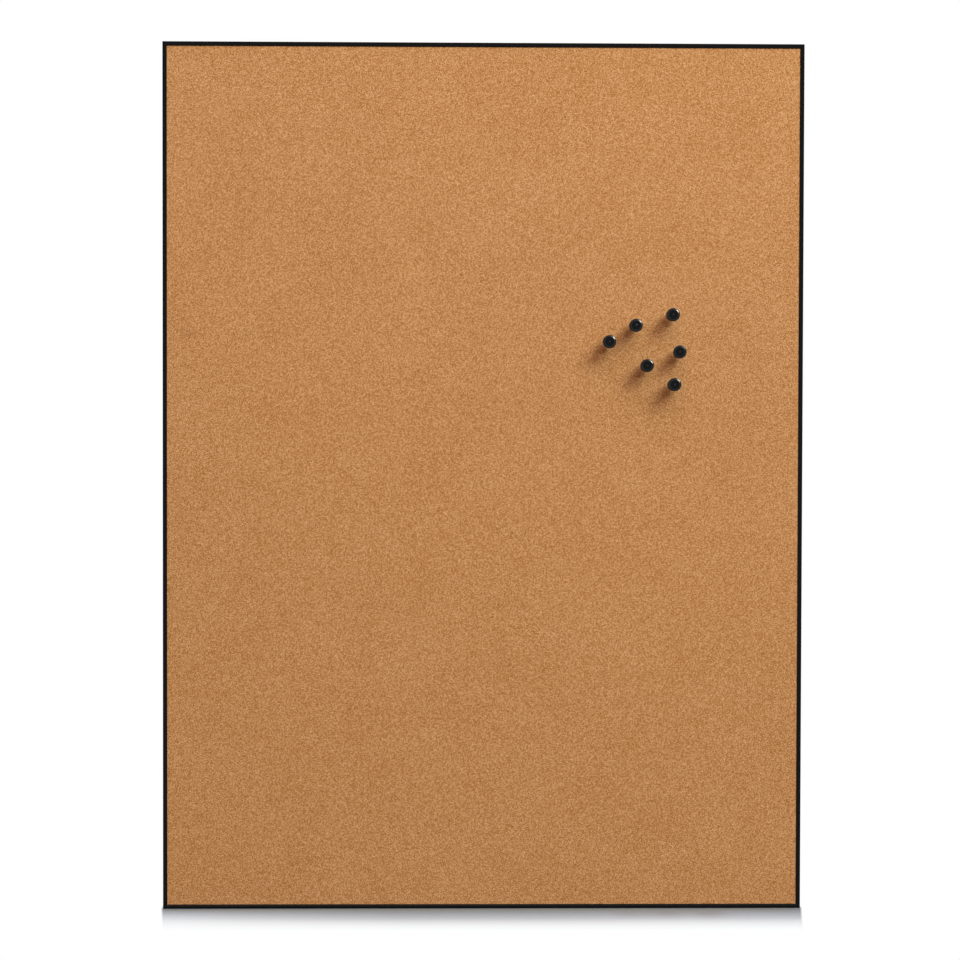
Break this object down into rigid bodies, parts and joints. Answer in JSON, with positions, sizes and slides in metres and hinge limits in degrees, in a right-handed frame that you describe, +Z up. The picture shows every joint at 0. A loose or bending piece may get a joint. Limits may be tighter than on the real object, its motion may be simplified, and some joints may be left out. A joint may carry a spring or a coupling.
{
  "type": "cork board",
  "caption": "Wall cork board with a slim mitred black frame, push pins standing in its cork, and ring hangers riveted to its back.",
  "frame": {"origin": "middle of the wall plane, which the rear lips of the frame lie on", "axes": "+X right and +Z up as seen from the front, +Y from the front to the wall"},
  "size_m": [0.444, 0.0351, 0.601],
  "materials": {
    "frame": "satin",
    "cork": "matte",
    "core": "matte",
    "back": "satin",
    "corner_key": "satin",
    "corner_shim": "satin",
    "set_screw": "satin",
    "strap": "satin",
    "rivet": "satin",
    "ring": "polished",
    "pin_plastic": "gloss",
    "needle": "polished"
  },
  "bodies": {
    "board": {"frame_left": "frame", "frame_top": "frame", "frame_right": "frame", "frame_bottom": "frame", "cork_sheet": "cork", "core_board": "core", "back_sheet": "back", "corner_key_bottom_left": "corner_key", "corner_shim_bottom_left": "corner_shim", "set_screw_bottom_left_1": "set_screw", "set_screw_bottom_left_2": "set_screw", "corner_key_top_left": "corner_key", "corner_shim_top_left": "corner_shim", "set_screw_top_left_1": "set_screw", "set_screw_top_left_2": "set_screw", "corner_key_top_right": "corner_key", "corner_shim_top_right": "corner_shim", "set_screw_top_right_1": "set_screw", "set_screw_top_right_2": "set_screw", "corner_key_bottom_right": "corner_key", "corner_shim_bottom_right": "corner_shim", "set_screw_bottom_right_1": "set_screw", "set_screw_bottom_right_2": "set_screw", "hanger_strap_left": "strap", "hanger_rivet_left_1": "rivet", "hanger_rivet_left_2": "rivet", "hanger_strap_right": "strap", "hanger_rivet_right_1": "rivet", "hanger_rivet_right_2": "rivet"},
    "ring_left": {"hanger_ring_left": "ring"},
    "ring_right": {"hanger_ring_right": "ring"},
    "push_pin_1": {"push_pin_1_head": "pin_plastic", "push_pin_1_needle": "needle"},
    "push_pin_2": {"push_pin_2_head": "pin_plastic", "push_pin_2_needle": "needle"},
    "push_pin_3": {"push_pin_3_head": "pin_plastic", "push_pin_3_needle": "needle"},
    "push_pin_4": {"push_pin_4_head": "pin_plastic", "push_pin_4_needle": "needle"},
    "push_pin_5": {"push_pin_5_head": "pin_plastic", "push_pin_5_needle": "needle"},
    "push_pin_6": {"push_pin_6_head": "pin_plastic", "push_pin_6_needle": "needle"}
  },
  "joints": [
    {"name": "ring_left_swing", "type": "hinge", "parent": "board", "child": "ring_left", "pos_m": [-0.14, -0.0037, 0.2265], "axis": [1, 0, 0], "range_deg": [0, 180]},
    {"name": "ring_right_swing", "type": "hinge", "parent": "board", "child": "ring_right", "pos_m": [0.14, -0.0037, 0.2265], "axis": [1, 0, 0], "range_deg": [0, 180]},
    {"name": "push_pin_1_pull", "type": "slide", "parent": "board", "child": "push_pin_1", "axis": [0.0209, -0.9997, 0.014], "range_m": [-0.0054, 0.0042]},
    {"name": "push_pin_2_pull", "type": "slide", "parent": "board", "child": "push_pin_2", "axis": [0.0279, -0.9996, 0.0105], "range_m": [-0.0054, 0.0042]},
    {"name": "push_pin_3_pull", "type": "slide", "parent": "board", "child": "push_pin_3", "axis": [0.0244, -0.9995, 0.0174], "range_m": [-0.0054, 0.0042]},
    {"name": "push_pin_4_pull", "type": "slide", "parent": "board", "child": "push_pin_4", "axis": [-0.0105, -0.9993, 0.0349], "range_m": [-0.0054, 0.0042]},
    {"name": "push_pin_5_pull", "type": "slide", "parent": "board", "child": "push_pin_5", "axis": [0.0175, -0.9996, 0.0209], "range_m": [-0.0054, 0.0042]},
    {"name": "push_pin_6_pull", "type": "slide", "parent": "board", "child": "push_pin_6", "axis": [0.0262, -0.9995, 0.0157], "range_m": [-0.0054, 0.0042]}
  ]
}
